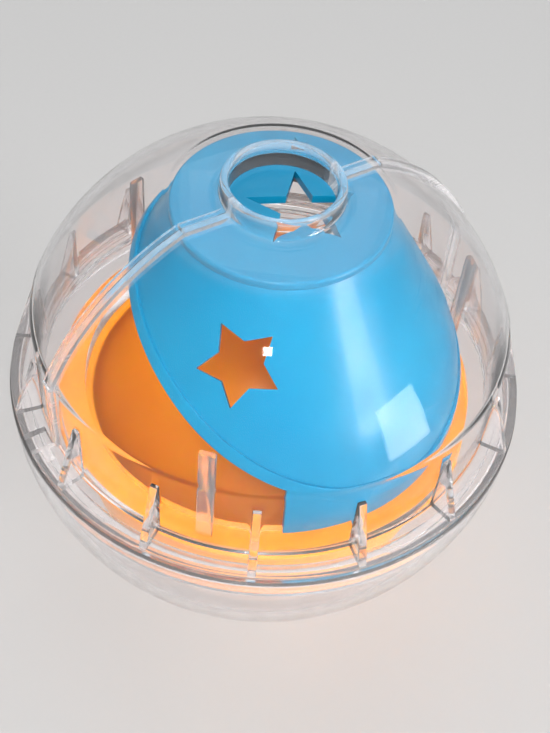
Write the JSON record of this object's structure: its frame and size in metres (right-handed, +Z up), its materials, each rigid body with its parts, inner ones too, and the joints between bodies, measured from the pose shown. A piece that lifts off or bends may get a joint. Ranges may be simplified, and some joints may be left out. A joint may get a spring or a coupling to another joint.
{
  "type": "treat dispensing ball",
  "caption": "Clear screw-together ball with a raised mouth, an orange treat tray and a turning blue lid with star-shaped openings.",
  "frame": {"origin": "centre of the flat foot under the bowl", "axes": "+Z up through the mouth, the dome's seam lies in the XZ plane and the front half of the dome is on -Y"},
  "size_m": [0.1, 0.1, 0.0967],
  "materials": {
    "clear_plastic": "clear, polished",
    "orange_plastic": "smooth, glossy",
    "blue_plastic": "smooth, glossy"
  },
  "bodies": {
    "bowl": {"bottom_bowl": "clear_plastic", "treat_tray": "orange_plastic", "lid_cradle": "clear_plastic"},
    "dome": {"dome_front": "clear_plastic", "dome_back": "clear_plastic"},
    "lid": {"star_lid": "blue_plastic", "star_disc": "blue_plastic"}
  },
  "joints": [
    {"name": "dome_lift", "type": "slide", "parent": "bowl", "child": "dome", "axis": [0, 0, 1], "range_m": [0, 0.06]},
    {"name": "lid_turn", "type": "hinge", "parent": "bowl", "child": "lid", "pos_m": [0, 0, 0.04828], "axis": [0, 0, 1], "continuous": true}
  ]
}
